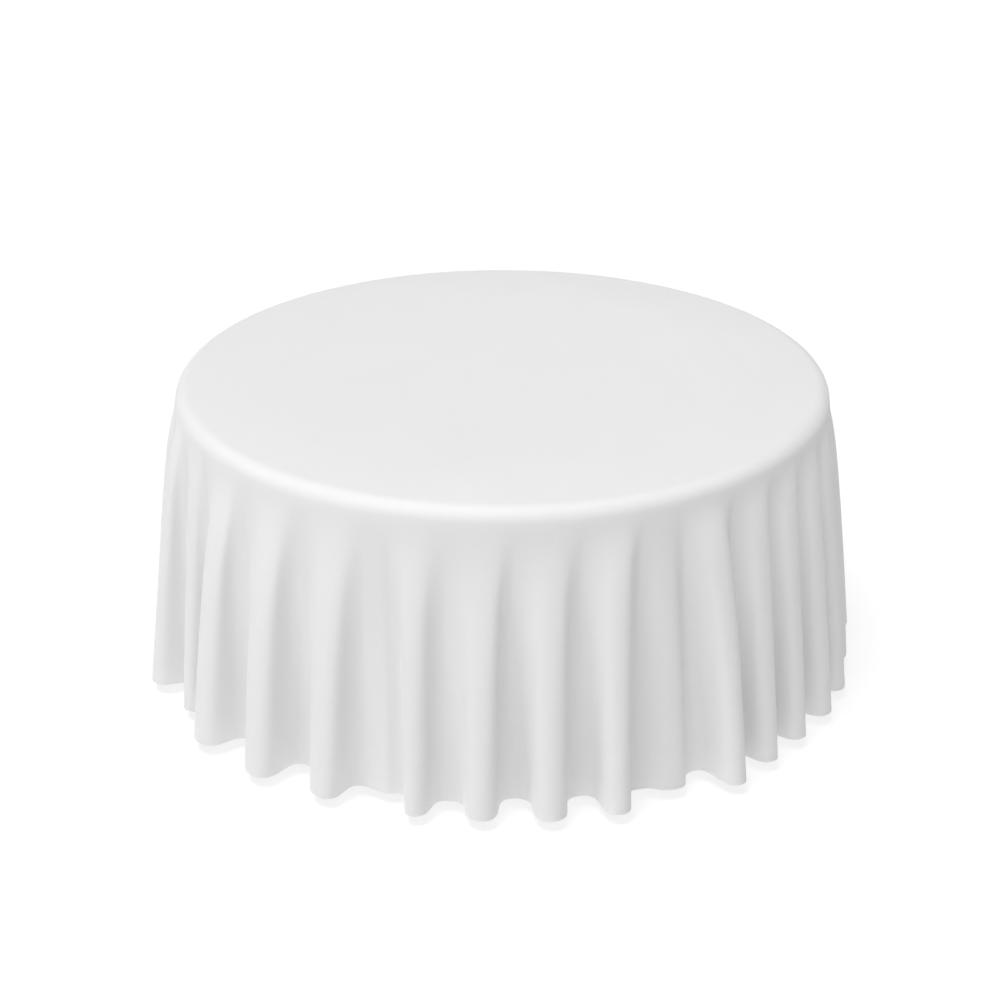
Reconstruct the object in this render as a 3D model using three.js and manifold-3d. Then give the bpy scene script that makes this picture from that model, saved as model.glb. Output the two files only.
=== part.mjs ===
// A round folding banquet table dressed in a round tablecloth that hangs to just above the floor.
// Millimetres, +Z up. The origin is on the floor under the middle of the table; the leg frames
// stand at +X and -X. Everything inside the cloth is one table that folds flat.

import * as THREE from 'three';
import { mergeVertices } from 'three/addons/utils/BufferGeometryUtils.js';
import Module from 'manifold-3d';

const wasm = await Module();
wasm.setup();

// ---------------------------------------------------------------- driving dimensions

// tabletop: a hollow blow-moulded panel
const tableHeight = 740;
const tableRadius = 800;
const topThickness = 52;
const topUpperEdge = 34;
const topLowerEdge = 12;
const topWall = 4;
const blowHoleRadius = 6;

// tablecloth: a round cut, its thickness, and how far the hanging part stands out on average
const clothCutRadius = 1500;
const clothThickness = 0.8;
const clothMeanReach = 55;
const foldGrowth = 0.8;
const labelWidth = 28;
const labelLength = 45;
const labelThickness = 0.5;
const labelDirection = 87.75;
const labelReach = 8;
const labelAboveHem = 8;

// side rails: steel angle
const railY = 347;
const railHalfLength = 640;
const railWall = 2;
const railDepth = 42;
const railFlange = 26;

// leg frames
const pivotX = 575;
const pivotDrop = 26;
const pivotTubeRadius = 12.5;
const legTubeRadius = 14;
const stretcherRadius = 10;
const tubeWall = 1.5;
const stretcherDrop = 300;
const legSpreadA = 315;
const legSpreadB = 265;
const footCapWall = 3.7;
const footCapHeight = 34;
const footCapFloor = 5;
const pivotCapWall = 2.7;
const pivotCapLength = 12;
const pivotCapFloor = 2.5;

// braces and the channels that their rollers run in
const braceLength = 420;
const braceWidth = 12;
const braceThickness = 10;
const braceOffset = 30;
const braceEyeWall = 4.5;
const rollerRadius = 7;
const rollerWidth = 7;
const rollerPinRadius = 3;
const rollerPinHeadRadius = 4.5;
const rollerPinHead = 1.4;
const channelWidth = 34;
const channelDepth = 14;
const channelWall = 1.5;
const channelEnd = 40;
const channelScrewInset = 14;

// screws
const screwHeadRadius = 5.5;
const screwHeadHeight = 2.6;
const screwCrownRadius = 3.8;
const screwCrownHeight = 1.6;
const screwShankRadius = 2.4;
const screwLength = 13;
const screwInset = 40;

// clearances
const seatGap = 0.3;
const rollerClearance = 0.7;

// how round things are drawn
const tableSides = 60;
const tubeSides = 20;
const smallSides = 12;
const edgeSteps = 3;
const columnsPerFold = 6;
const skirtShares = [0.16, 0.5, 1];

// ---------------------------------------------------------------- places worked out from them

const undersideZ = tableHeight - topThickness;
const fixingZ = undersideZ - seatGap;
const pivotZ = undersideZ - pivotDrop;
const stretcherZ = pivotZ - stretcherDrop;
const rollerZ = fixingZ - channelWall - rollerClearance - rollerRadius;
const braceAngle = Math.asin((rollerZ - stretcherZ) / braceLength);
const foldedBraceAngle = Math.asin((rollerZ - pivotZ) / braceLength);
const rollerRestX = pivotX - braceLength * Math.cos(braceAngle);
const rollerFoldedX = pivotX - stretcherDrop - braceLength * Math.cos(foldedBraceAngle);

const degrees = Math.PI / 180;
const quarterTurn = Math.PI / 2;

// Crests of the hanging folds: [direction in degrees, reach of the hem there, reach in the hollow
// that follows], reaches measured out from the table's edge. -90 is the front, 0 is +X.
const folds = [
  [-172, 104, 30], [-161, 122, 34], [-150.5, 84, 26], [-141, 122, 26], [-129, 118, 14],
  [-117, 100, 24], [-110, 36, 12], [-103, 98, 28], [-93, 92, 8], [-83, 98, 20],
  [-73, 106, 36], [-62.5, 68, 26], [-54, 126, 30], [-46, 108, 28], [-38, 104, 30],
  [-29.5, 112, 34], [-21.5, 108, 26], [-11, 96, 22], [0, 110, 30], [10, 92, 16],
  [21, 116, 26], [31, 84, 34], [41.5, 108, 20], [52, 98, 12], [63, 120, 28],
  [72.5, 78, 32], [82.5, 104, 18], [93, 98, 26], [104, 118, 14], [113.5, 70, 30],
  [124, 112, 24], [135, 100, 10], [145, 116, 28], [155.5, 86, 32], [165.5, 110, 22],
  [177, 96, 16],
];

// ---------------------------------------------------------------- materials

const finish = (color, roughness, metalness = 0) => ({ color, roughness, metalness });
const whiteCloth = finish(0xf2f2f2, 0.92);
const labelTape = finish(0xf7f7f4, 0.8);
const whiteResin = finish(0xd9d9d6, 0.55);
const greySteel = finish(0x7d8084, 0.45, 0.6);
const zincSteel = finish(0xb4b6b8, 0.35, 0.9);
const blackRubber = finish(0x26272a, 0.85);
const whiteNylon = finish(0xe6e4dc, 0.5);

const table = new THREE.Group();

// Adds one named piece, made of its own material, to a group.
function piece(parent, name, geometry, surface) {
  const mesh = new THREE.Mesh(geometry, new THREE.MeshStandardMaterial(surface));
  mesh.name = name;
  parent.add(mesh);
  return mesh;
}

// ---------------------------------------------------------------- cutting and joining

// A closed geometry as a solid that can be cut.
function toSolid(geometry) {
  const bare = geometry.clone();
  bare.deleteAttribute('normal');
  bare.deleteAttribute('uv');
  const merged = mergeVertices(bare, 1e-4);
  const corners = merged.index.array;
  const kept = [];
  for (let i = 0; i < corners.length; i += 3) {
    const [a, b, c] = [corners[i], corners[i + 1], corners[i + 2]];
    if (a !== b && b !== c && c !== a) kept.push(a, b, c);
  }
  return new wasm.Manifold(new wasm.Mesh({
    numProp: 3,
    vertProperties: new Float32Array(merged.attributes.position.array),
    triVerts: new Uint32Array(kept),
  }));
}

function toGeometry(solid) {
  const { vertProperties, triVerts } = solid.getMesh();
  const geometry = new THREE.BufferGeometry();
  geometry.setAttribute('position', new THREE.BufferAttribute(vertProperties, 3));
  geometry.setIndex(new THREE.BufferAttribute(triVerts, 1));
  geometry.computeVertexNormals();
  return geometry;
}

// The geometry with every tool cut out of it.
function cut(geometry, tools) {
  let solid = toSolid(geometry);
  for (const tool of tools) solid = solid.subtract(toSolid(tool));
  return toGeometry(solid);
}

// ---------------------------------------------------------------- basic shapes

// A solid round bar about an axis, centred at a point: the tool for round holes.
function roundBar(radius, length, axis, centre, sides = tubeSides) {
  const bar = new THREE.CylinderGeometry(radius, radius, length, sides);
  if (axis === 'x') bar.rotateZ(quarterTurn);
  if (axis === 'z') bar.rotateX(quarterTurn);
  return bar.translate(...centre);
}

// A tube from z = 0 upwards.
function tube(radius, length) {
  const ring = new THREE.Shape().absarc(0, 0, radius, 0, 2 * Math.PI);
  ring.holes.push(new THREE.Path().absarc(0, 0, radius - tubeWall, 0, 2 * Math.PI, true));
  return new THREE.ExtrudeGeometry(ring, {
    depth: length, bevelEnabled: false, curveSegments: tubeSides / 2,
  });
}

// A turned piece about Z from a profile of [radius, height] points.
function turned(profile, sides) {
  return new THREE.LatheGeometry(profile.map(([r, z]) => new THREE.Vector2(r, z)), sides)
    .rotateX(quarterTurn);
}

// A cup that closes the end of a tube: its floor is at z = 0 and its mouth opens upwards.
function cup(tubeRadius, wall, height, floor) {
  const bore = tubeRadius + seatGap;
  const radius = bore + wall;
  const roundOff = floor / 2;
  return turned([
    [0, 0], [radius - roundOff, 0], [radius, roundOff], [radius - roundOff / 2, height],
    [bore, height], [bore, floor], [0, floor],
  ], tubeSides);
}

// An outline in the YZ plane drawn out along X from one place to another.
function drawnAlongX(points, fromX, toX) {
  const shape = new THREE.Shape(points.map(([y, z]) => new THREE.Vector2(y, z)));
  return new THREE.ExtrudeGeometry(shape, { depth: toX - fromX, bevelEnabled: false })
    .rotateX(quarterTurn).rotateZ(quarterTurn).translate(fromX, 0, 0);
}

// Points of an arc about a centre, from one angle to another, ends included.
function arcPoints(centre, radius, from, to, steps) {
  return Array.from({ length: steps + 1 }, (_, i) => {
    const angle = from + ((to - from) * i) / steps;
    return [centre[0] + radius * Math.cos(angle), centre[1] + radius * Math.sin(angle)];
  });
}

// ---------------------------------------------------------------- fixings

const screwHoleRadius = screwShankRadius + seatGap;

// A pan-head screw that enters the underside of the top, its head under a plate.
function screw(parent, name, [x, y], plate) {
  const geometry = turned([
    [0, -screwHeadHeight], [screwCrownRadius, -screwHeadHeight],
    [screwHeadRadius, screwCrownHeight - screwHeadHeight], [screwHeadRadius, 0],
    [screwShankRadius, 0],
    [screwShankRadius, screwLength - screwShankRadius], [0, screwLength],
  ], smallSides);
  piece(parent, name, geometry, zincSteel).position.set(x, y, fixingZ - plate - seatGap);
}

// A screw's hole through whatever is this thick and centred on this height.
function screwHole([x, y], z, thickness) {
  const overrun = 1;
  return roundBar(screwHoleRadius, thickness + 2 * overrun, 'z', [x, y, z], smallSides);
}

const railScrewY = railY + (railWall + railFlange) / 2;
const railScrewXs = [-1, -1 / 3, 1 / 3, 1].map((share) => share * (railHalfLength - screwInset));
const channelSpan = [rollerFoldedX - channelEnd, rollerRestX + channelEnd];
const channelScrewXs = [channelSpan[0] + channelScrewInset, channelSpan[1] - channelScrewInset];

const railScrews = [-1, 1].flatMap((side) => railScrewXs.map((x) => [x, side * railScrewY]));
const channelScrews = [1, -1].flatMap((side) => channelScrewXs.map((x) => [side * x, side * braceOffset]));

// ---------------------------------------------------------------- tabletop

function tabletop() {
  const flat = tableRadius - topUpperEdge;
  const lowerFlat = tableRadius - topLowerEdge;
  const upperZ = tableHeight - topUpperEdge;
  const lowerZ = undersideZ + topLowerEdge;
  const inside = [
    [0, tableHeight - topWall],
    ...arcPoints([flat, upperZ], topUpperEdge - topWall, quarterTurn, 0, edgeSteps),
    ...arcPoints([lowerFlat, lowerZ], topLowerEdge - topWall, 0, -quarterTurn, edgeSteps),
    [blowHoleRadius, undersideZ + topWall],
  ];
  const outside = [
    [blowHoleRadius, undersideZ],
    ...arcPoints([lowerFlat, lowerZ], topLowerEdge, -quarterTurn, 0, edgeSteps),
    ...arcPoints([flat, upperZ], topUpperEdge, 0, quarterTurn, edgeSteps),
    [0, tableHeight],
  ];
  const holes = [...railScrews, ...channelScrews].map((place) =>
    screwHole(place, undersideZ + topWall / 2, topWall));
  piece(table, 'tabletop', cut(turned([...inside, ...outside], tableSides), holes), whiteResin);
}

tabletop();

// ---------------------------------------------------------------- side rails

// A rail is a steel angle whose flange lies under the top and points away from the middle.
function rail(name, side) {
  const angle = drawnAlongX([
    [railY, fixingZ - railDepth], [railY + railWall, fixingZ - railDepth],
    [railY + railWall, fixingZ - railWall], [railY + railFlange, fixingZ - railWall],
    [railY + railFlange, fixingZ], [railY, fixingZ],
  ], -railHalfLength, railHalfLength);
  const pivotHoles = [-pivotX, pivotX].map((x) =>
    roundBar(pivotTubeRadius + seatGap, 2 * railFlange, 'y', [x, railY, pivotZ]));
  const screwHoles = railScrewXs.map((x) =>
    screwHole([x, railScrewY], fixingZ - railWall / 2, railWall));
  const mesh = piece(table, name, cut(angle, [...pivotHoles, ...screwHoles]), greySteel);
  mesh.rotation.z = side > 0 ? 0 : Math.PI;
}

rail('rear_rail', 1);
rail('front_rail', -1);
railScrews.forEach((place, i) => screw(table, `rail_screw_${i + 1}`, place, railWall));

// ---------------------------------------------------------------- brace channels

// A channel is a shallow steel U, open downwards, in which a brace's rollers run.
function braceChannel(name, side) {
  const half = channelWidth / 2;
  const inner = half - channelWall;
  const channel = drawnAlongX([
    [-half, -channelDepth], [-inner, -channelDepth], [-inner, -channelWall],
    [inner, -channelWall], [inner, -channelDepth], [half, -channelDepth], [half, 0], [-half, 0],
  ], ...channelSpan).translate(0, braceOffset, fixingZ);
  const holes = channelScrewXs.map((x) =>
    screwHole([x, braceOffset], fixingZ - channelWall / 2, channelWall));
  const mesh = piece(table, name, cut(channel, holes), greySteel);
  mesh.rotation.z = side > 0 ? 0 : Math.PI;
}

braceChannel('brace_channel_a', 1);
braceChannel('brace_channel_b', -1);
channelScrews.forEach((place, i) => screw(table, `channel_screw_${i + 1}`, place, channelWall));

// ---------------------------------------------------------------- leg frames

// A leg frame turns about its pivot tube, which passes through both rails.
function legFrame(letter, side, spread) {
  const frame = new THREE.Group();
  frame.position.set(side * pivotX, 0, 0);
  table.add(frame);

  const capEnd = railY + railWall + seatGap + pivotCapLength;
  const pivotReach = capEnd - pivotCapFloor - seatGap;
  const pivot = tube(pivotTubeRadius, 2 * pivotReach).rotateX(quarterTurn);
  piece(frame, `leg_${letter}_pivot_tube`, pivot, greySteel).position.set(0, pivotReach, pivotZ);

  const legBottom = footCapFloor + seatGap;
  const pivotSeat = roundBar(pivotTubeRadius + seatGap, 4 * legTubeRadius, 'y', [0, 0, pivotZ]);
  const legShape = cut(tube(legTubeRadius, pivotZ - legBottom).translate(0, 0, legBottom), [pivotSeat]);

  const legSeat = (y) => roundBar(legTubeRadius + seatGap, 6 * stretcherRadius, 'z', [0, y, 0]);
  const stretcherTube = tube(stretcherRadius, 2 * spread).rotateX(quarterTurn).translate(0, spread, 0);
  const stretcher = cut(stretcherTube, [legSeat(-spread), legSeat(spread)]);
  piece(frame, `leg_${letter}_stretcher`, stretcher, greySteel).position.set(0, 0, stretcherZ);

  for (const [end, hand] of [['front', -1], ['rear', 1]]) {
    piece(frame, `leg_${letter}_tube_${end}`, legShape, greySteel).position.set(0, hand * spread, 0);
    const foot = cup(legTubeRadius, footCapWall, footCapHeight, footCapFloor);
    piece(frame, `leg_${letter}_foot_${end}`, foot, blackRubber).position.set(0, hand * spread, 0);
    const pivotCap = cup(pivotTubeRadius, pivotCapWall, pivotCapLength, pivotCapFloor);
    const cap = piece(frame, `leg_${letter}_pivot_cap_${end}`, pivotCap, blackRubber);
    cap.position.set(0, hand * capEnd, pivotZ);
    cap.rotation.x = hand * quarterTurn;
  }
}

legFrame('a', 1, legSpreadA);
legFrame('b', -1, legSpreadB);

// ---------------------------------------------------------------- braces

// A brace is a flat bar: the eye at one end turns on the stretcher, a pin at the other end
// carries a roller on each side, up in the channel.
function brace(letter, side) {
  const group = new THREE.Group();
  group.position.set(side * pivotX, side * braceOffset, stretcherZ);
  group.rotation.y = side > 0 ? braceAngle - Math.PI : -braceAngle;
  table.add(group);

  const halfWidth = braceWidth / 2;
  const eyeRadius = stretcherRadius + seatGap + braceEyeWall;
  const neck = Math.asin(halfWidth / eyeRadius);
  const outline = new THREE.Shape()
    .absarc(0, 0, eyeRadius, neck, 2 * Math.PI - neck)
    .absarc(braceLength, 0, halfWidth, -quarterTurn, quarterTurn);
  const eye = (x, radius) => new THREE.Path().absarc(x, 0, radius, 0, 2 * Math.PI, true);
  outline.holes.push(eye(0, stretcherRadius + seatGap), eye(braceLength, rollerPinRadius + seatGap));
  const bar = new THREE.ExtrudeGeometry(outline, {
    depth: braceThickness, bevelEnabled: false, curveSegments: tubeSides / 2,
  }).translate(0, 0, -braceThickness / 2).rotateX(quarterTurn);
  piece(group, `brace_${letter}_bar`, bar, zincSteel);

  const rollerInner = braceThickness / 2 + seatGap;
  const pinReach = rollerInner + rollerWidth + seatGap;
  const pin = turned([
    [0, -pinReach - rollerPinHead], [rollerPinHeadRadius, -pinReach - rollerPinHead],
    [rollerPinHeadRadius, -pinReach], [rollerPinRadius, -pinReach], [rollerPinRadius, pinReach],
    [rollerPinHeadRadius, pinReach], [rollerPinHeadRadius, pinReach + rollerPinHead],
    [0, pinReach + rollerPinHead],
  ], smallSides).rotateX(quarterTurn);
  piece(group, `brace_${letter}_pin`, pin, zincSteel).position.x = braceLength;

  const bore = rollerPinRadius + seatGap;
  const roller = turned([
    [bore, 0], [rollerRadius, 0], [rollerRadius, rollerWidth], [bore, rollerWidth], [bore, 0],
  ], tubeSides).rotateX(quarterTurn);
  for (const [end, y] of [['front', -rollerInner], ['rear', rollerInner + rollerWidth]]) {
    piece(group, `brace_${letter}_roller_${end}`, roller, whiteNylon).position.set(braceLength, y, 0);
  }
}

brace('a', 1);
brace('b', -1);

// ---------------------------------------------------------------- tablecloth

const shoulderZ = tableHeight - topUpperEdge;
const clothFlatRadius = tableRadius - topUpperEdge;
const clothSeat = topUpperEdge + seatGap + clothThickness;
const skirtLength = clothCutRadius - clothFlatRadius - quarterTurn * clothSeat;
const hemZ = shoulderZ - Math.sqrt(skirtLength ** 2 - clothMeanReach ** 2);

// Reach of the hem in each direction: crest, hollow and two places between each pair.
function hemColumns() {
  const columns = [];
  folds.forEach(([crestAt, crestReach, hollowReach], i) => {
    const [nextAt, nextReach] = folds[(i + 1) % folds.length];
    const span = (nextAt - crestAt + 360) % 360;
    for (let step = 0; step < columnsPerFold; step += 1) {
      const share = step / columnsPerFold;
      const high = share < 0.5 ? crestReach : nextReach;
      const height = (1 + Math.cos(2 * Math.PI * share)) / 2;
      columns.push([(crestAt + span * share) * degrees, hollowReach + (high - hollowReach) * height]);
    }
  });
  return columns;
}

// A point of the cloth as [direction, radius, height]. Rings 0 to edgeSteps go over the table's
// edge and the later ones down the skirt; layer is the distance from the cloth's inner face.
function clothRing([direction, reach], ring, layer) {
  if (ring <= edgeSteps) {
    const turn = (quarterTurn * ring) / edgeSteps;
    const radius = topUpperEdge + seatGap + layer;
    return [direction, clothFlatRadius + radius * Math.sin(turn), shoulderZ + radius * Math.cos(turn)];
  }
  const share = skirtShares[ring - edgeSteps - 1];
  const radius = tableRadius + seatGap + layer + reach * share ** foldGrowth;
  return [direction, radius, shoulderZ + (hemZ - shoulderZ) * share];
}

// One closed thin shell: layer 0 is its outer face and layer 1 its inner face, joined at the hem.
function tablecloth() {
  const columns = hemColumns();
  const rings = edgeSteps + 1 + skirtShares.length;
  const positions = [];
  const index = [];
  const layers = [clothThickness, 0];
  for (const layer of layers) {
    positions.push(0, 0, tableHeight + seatGap + layer);
    for (let ring = 0; ring < rings; ring += 1) {
      for (const column of columns) {
        const [direction, radius, z] = clothRing(column, ring, layer);
        positions.push(radius * Math.cos(direction), radius * Math.sin(direction), z);
      }
    }
  }
  const count = columns.length;
  const layerStart = 1 + rings * count;
  const at = (layer, ring, column) => layer * layerStart + 1 + ring * count + (column % count);
  const quad = (a, b, c, d) => index.push(a, b, c, a, c, d);
  for (let column = 0; column < count; column += 1) {
    index.push(0, at(0, 0, column), at(0, 0, column + 1));
    index.push(layerStart, at(1, 0, column + 1), at(1, 0, column));
    for (let ring = 0; ring + 1 < rings; ring += 1) {
      quad(at(0, ring, column), at(0, ring + 1, column), at(0, ring + 1, column + 1), at(0, ring, column + 1));
      quad(at(1, ring, column), at(1, ring, column + 1), at(1, ring + 1, column + 1), at(1, ring + 1, column));
    }
    const hem = rings - 1;
    quad(at(0, hem, column), at(1, hem, column), at(1, hem, column + 1), at(0, hem, column + 1));
  }
  const geometry = new THREE.BufferGeometry();
  geometry.setAttribute('position', new THREE.Float32BufferAttribute(positions, 3));
  geometry.setIndex(index);
  geometry.computeVertexNormals();
  piece(table, 'tablecloth', geometry, whiteCloth);
}

tablecloth();

// A blank tape sewn to the inside of the hem at the back.
function careLabel() {
  const tape = new THREE.BoxGeometry(labelThickness, labelWidth, labelLength);
  const holder = new THREE.Group();
  holder.rotation.z = labelDirection * degrees;
  table.add(holder);
  const label = piece(holder, 'care_label', tape, labelTape);
  label.position.set(tableRadius + labelReach, 0, hemZ + labelAboveHem + labelLength / 2);
}

careLabel();

export default table;
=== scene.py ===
"""A round white tablecloth hanging in soft folds over a round folding banquet table.

Metres, +Z up, the origin on the floor under the middle of the table, -Y to the front. The table comes
from model.glb. The cloth, its hem, its stitching and its label are made here.
"""

import math

import bpy
import numpy as np
from bpy.props import FloatProperty, FloatVectorProperty, IntProperty, PointerProperty
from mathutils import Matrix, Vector


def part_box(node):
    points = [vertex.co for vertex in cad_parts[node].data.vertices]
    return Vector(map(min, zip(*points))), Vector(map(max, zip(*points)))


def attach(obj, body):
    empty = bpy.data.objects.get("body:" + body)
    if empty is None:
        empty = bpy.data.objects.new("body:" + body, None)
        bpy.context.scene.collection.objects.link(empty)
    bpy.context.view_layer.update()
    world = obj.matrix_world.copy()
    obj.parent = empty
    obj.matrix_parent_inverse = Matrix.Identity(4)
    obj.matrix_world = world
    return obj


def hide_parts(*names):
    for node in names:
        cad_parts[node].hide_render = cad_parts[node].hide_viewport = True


bl_info = {
    "name": "Round Tablecloth on a Banquet Table",
    "version": (1, 0, 0),
    "blender": (4, 5, 0),
    "location": "View3D > Sidebar > Tablecloth",
    "description": "Drapes a hemmed round cloth over a folding banquet table and sets it in a plain studio",
    "category": "Object",
}

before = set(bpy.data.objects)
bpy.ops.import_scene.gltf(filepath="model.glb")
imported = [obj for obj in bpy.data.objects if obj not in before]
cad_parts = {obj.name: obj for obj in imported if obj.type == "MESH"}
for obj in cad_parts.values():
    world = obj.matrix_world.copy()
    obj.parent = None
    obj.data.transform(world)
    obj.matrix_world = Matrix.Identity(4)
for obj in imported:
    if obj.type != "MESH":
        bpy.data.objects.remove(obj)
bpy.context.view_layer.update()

_, TABLE_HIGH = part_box("tabletop")
CLOTH_LOW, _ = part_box("tablecloth")


# ------------------------------------------------------------------ settings

class ClothSettings(bpy.types.PropertyGroup):
    """Sizes and colour of the tablecloth."""

    cut_radius: FloatProperty(
        name="Cut Radius", description="Radius of the round cut before it is hung",
        default=1.5, min=1.0, max=2.0, unit="LENGTH")
    thickness: FloatProperty(
        name="Thickness", description="Thickness of the cloth",
        default=0.0008, min=0.0002, max=0.002, unit="LENGTH")
    edge_radius: FloatProperty(
        name="Edge Radius", description="How roundly the cloth turns over the edge of the table",
        default=0.034, min=0.005, max=0.1, unit="LENGTH")
    columns_per_fold: IntProperty(
        name="Columns per Fold", description="How finely each fold is drawn round the cloth",
        default=32, min=8, max=40)
    skirt_rows: IntProperty(
        name="Skirt Rows", description="How finely the hanging part is drawn from the edge to the hem",
        default=30, min=8, max=80)
    hem_width: FloatProperty(
        name="Hem Width", description="Height of the turned-up hem",
        default=0.009, min=0.004, max=0.04, unit="LENGTH")
    stitch_height: FloatProperty(
        name="Stitch Height", description="Height of the stitching above the bottom edge",
        default=0.007, min=0.002, max=0.04, unit="LENGTH")
    stitch_pitch: FloatProperty(
        name="Stitch Pitch", description="Distance from one stitch to the next",
        default=0.003, min=0.002, max=0.01, unit="LENGTH")
    stitch_length: FloatProperty(
        name="Stitch Length", description="Length of thread that shows in one stitch",
        default=0.0023, min=0.001, max=0.01, unit="LENGTH")
    stitch_radius: FloatProperty(
        name="Sewing Thread Radius", description="Radius of the sewing thread",
        default=0.00025, min=0.0001, max=0.001, unit="LENGTH")
    thread_pitch: FloatProperty(
        name="Thread Pitch", description="Distance between neighbouring threads of the weave",
        default=0.0007, min=0.0002, max=0.002, unit="LENGTH")
    color: FloatVectorProperty(
        name="Colour", description="Colour of the yarn", subtype="COLOR",
        default=(0.82, 0.82, 0.82), min=0.0, max=1.0, size=3)
    label_color: FloatVectorProperty(
        name="Label Colour", description="Colour of the satin care label", subtype="COLOR",
        default=(0.90, 0.89, 0.86), min=0.0, max=1.0, size=3)


class TableSettings(bpy.types.PropertyGroup):
    """Colours of the folding table."""

    resin_color: FloatVectorProperty(
        name="Resin", description="Colour of the moulded top", subtype="COLOR",
        default=(0.62, 0.62, 0.60), min=0.0, max=1.0, size=3)
    steel_color: FloatVectorProperty(
        name="Powder Coat", description="Colour of the coated steel", subtype="COLOR",
        default=(0.20, 0.21, 0.225), min=0.0, max=1.0, size=3)
    zinc_color: FloatVectorProperty(
        name="Zinc", description="Colour of the plated fittings", subtype="COLOR",
        default=(0.52, 0.53, 0.54), min=0.0, max=1.0, size=3)
    rubber_color: FloatVectorProperty(
        name="Rubber", description="Colour of the feet", subtype="COLOR",
        default=(0.022, 0.022, 0.024), min=0.0, max=1.0, size=3)
    nylon_color: FloatVectorProperty(
        name="Nylon", description="Colour of the rollers", subtype="COLOR",
        default=(0.74, 0.72, 0.66), min=0.0, max=1.0, size=3)


class StudioSettings(bpy.types.PropertyGroup):
    """Camera and light."""

    camera_place: FloatVectorProperty(
        name="Camera Place", description="Where the camera stands", subtype="TRANSLATION",
        default=(-0.006, -4.110, 2.355), size=3)
    camera_pitch: FloatProperty(
        name="Camera Pitch", description="How far the camera looks down", subtype="ANGLE",
        default=math.radians(25.65))
    lens: FloatProperty(
        name="Lens", description="Focal length of the camera in millimetres", default=64.13)
    key_strength: FloatProperty(
        name="Key", description="Strength of the high light on the left", default=2.8)
    front_strength: FloatProperty(
        name="Front", description="Strength of the light in front", default=0.2)
    fill_strength: FloatProperty(
        name="Fill", description="Strength of the light in front on the right", default=0.45)
    low_strength: FloatProperty(
        name="Low", description="Strength of the low light on the left", default=0.15)
    light_softness: FloatProperty(
        name="Softness", description="Width of each light as it is seen from the table", subtype="ANGLE",
        default=math.radians(25))
    sky_strength: FloatProperty(
        name="Sky", description="Brightness of the light all round", default=0.05)
    haze_strength: FloatProperty(
        name="Haze", description="Brightness of the light that comes in low all round", default=0.8)
    haze_height: FloatProperty(
        name="Haze Height", description="How far up the haze fades into the sky", subtype="ANGLE",
        default=math.radians(7))
    backdrop_strength: FloatProperty(
        name="Backdrop", description="Brightness of the backdrop itself", default=1.0)
    floor_glow: FloatProperty(
        name="Floor Glow", description="How much light the floor gives off", default=0.8)


# ------------------------------------------------------------------ folds

# The folds as they hang: direction of the crest at the hem in degrees, how far the crest stands out
# from the table's edge in millimetres, the same for the hollow that follows, how far down the drop the
# fold has built up, in millimetres, and how many degrees the crest leans by the time it reaches the
# table's edge. -90 is the front, 0 is +X.
FOLDS = (
    (-172, 104, -166.5, 30, 50, -0.7), (-161, 122, -156, 30, 40, -0.7), (-150.5, 84, -146.5, 26, 60, -0.5),
    (-141.3, 122, -135, 24, 120, 0.8), (-128.4, 118, -123.3, 12, 140, -0.3),
    (-116.7, 102, -112.3, 22, 160, 0.3), (-108.5, 30, -106.2, 22, 160, -0.7),
    (-103, 98, -98.3, 26, 150, -1.0), (-93, 96, -88.2, 8, 190, 0.9), (-83, 102, -77.8, 16, 170, 0.6),
    (-73, 108, -69.0, 30, 90, 1.6), (-62.5, 66, -58.5, 24, 180, -2.0), (-54, 128, -50.8, 26, 60, -2.3),
    (-46, 110, -42.7, 24, 45, 0.8), (-38, 106, -34.6, 26, 40, 2.0), (-29.5, 112, -26.2, 30, 40, 2.4),
    (-21.5, 110, -17.2, 26, 40, 2.0), (-11, 96, -5.5, 22, 80, 1.4), (0, 110, 5, 30, 60, 1.3),
    (10, 92, 15.5, 16, 140, 1.0), (21, 116, 26, 26, 50, 1.1), (31, 84, 36, 34, 150, 1.0),
    (41.5, 108, 46.5, 20, 90, 0.4), (52, 98, 57.5, 12, 120, 0.4), (63, 120, 68, 28, 50, 0.8),
    (72.5, 78, 77.5, 32, 180, 0.7), (82.5, 104, 87.75, 18, 90, 0.1), (93, 98, 98.5, 26, 60, 0.2),
    (104, 118, 109, 14, 50, 0.1), (113.5, 70, 119, 30, 200, 0.2), (124, 112, 129.5, 24, 60, -0.4),
    (135, 100, 140, 10, 90, -0.4), (145, 116, 150, 28, 50, 0.2), (155.5, 86, 160.5, 32, 140, -0.1),
    (165.5, 110, 171, 22, 60, -0.5), (177, 96, 182.5, 16, 80, -0.7),
)
MEAN_REACH = 50                 # how far the hem stands out from the table's edge on the whole, in mm
FULL_FOLD = 100                 # a fold this deep from crest to hollow, in mm, has upright flanks
FOLD_ROUNDNESS = 0.95           # how upright those flanks are
FOLD_GROWTH = 0.55              # how early in the drop the folds reach out
BUILD_STEEPNESS = 1.5           # how sharply a fold sets in below the table's edge
CREST_SHARPNESS = (0.5, 1.1)    # how narrow the crests are at the table's edge and at the hem
FOLD_TURN = 3.0                 # how many times its own build-up a fold takes to swing to its place
FOLD_SKEW = math.radians(1.2)   # how far the hollows lean under the crest before them
SKEW_RISE = 0.45                # how high up the skirt that lean is greatest
LEAST_REACH = 0.002             # how softly the cloth leaves the table's edge, in metres
FOLD_SAMPLES = 64               # points along each half of a fold, from which the columns are picked
FACE_STEP = 0.01                # part of the drop over which the outer face's slope is taken
TOP_RINGS = (0.3, 0.7, 1.0)     # rings of the flat top, as parts of its radius
EDGE_STEPS = 6                  # rings round the table's edge
ROW_GROWTH = 1.15               # above 1, the rows of the skirt lie closer together at its top
HEM_GAP = 0.00005               # between the turned-up hem and the cloth, in metres
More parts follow.
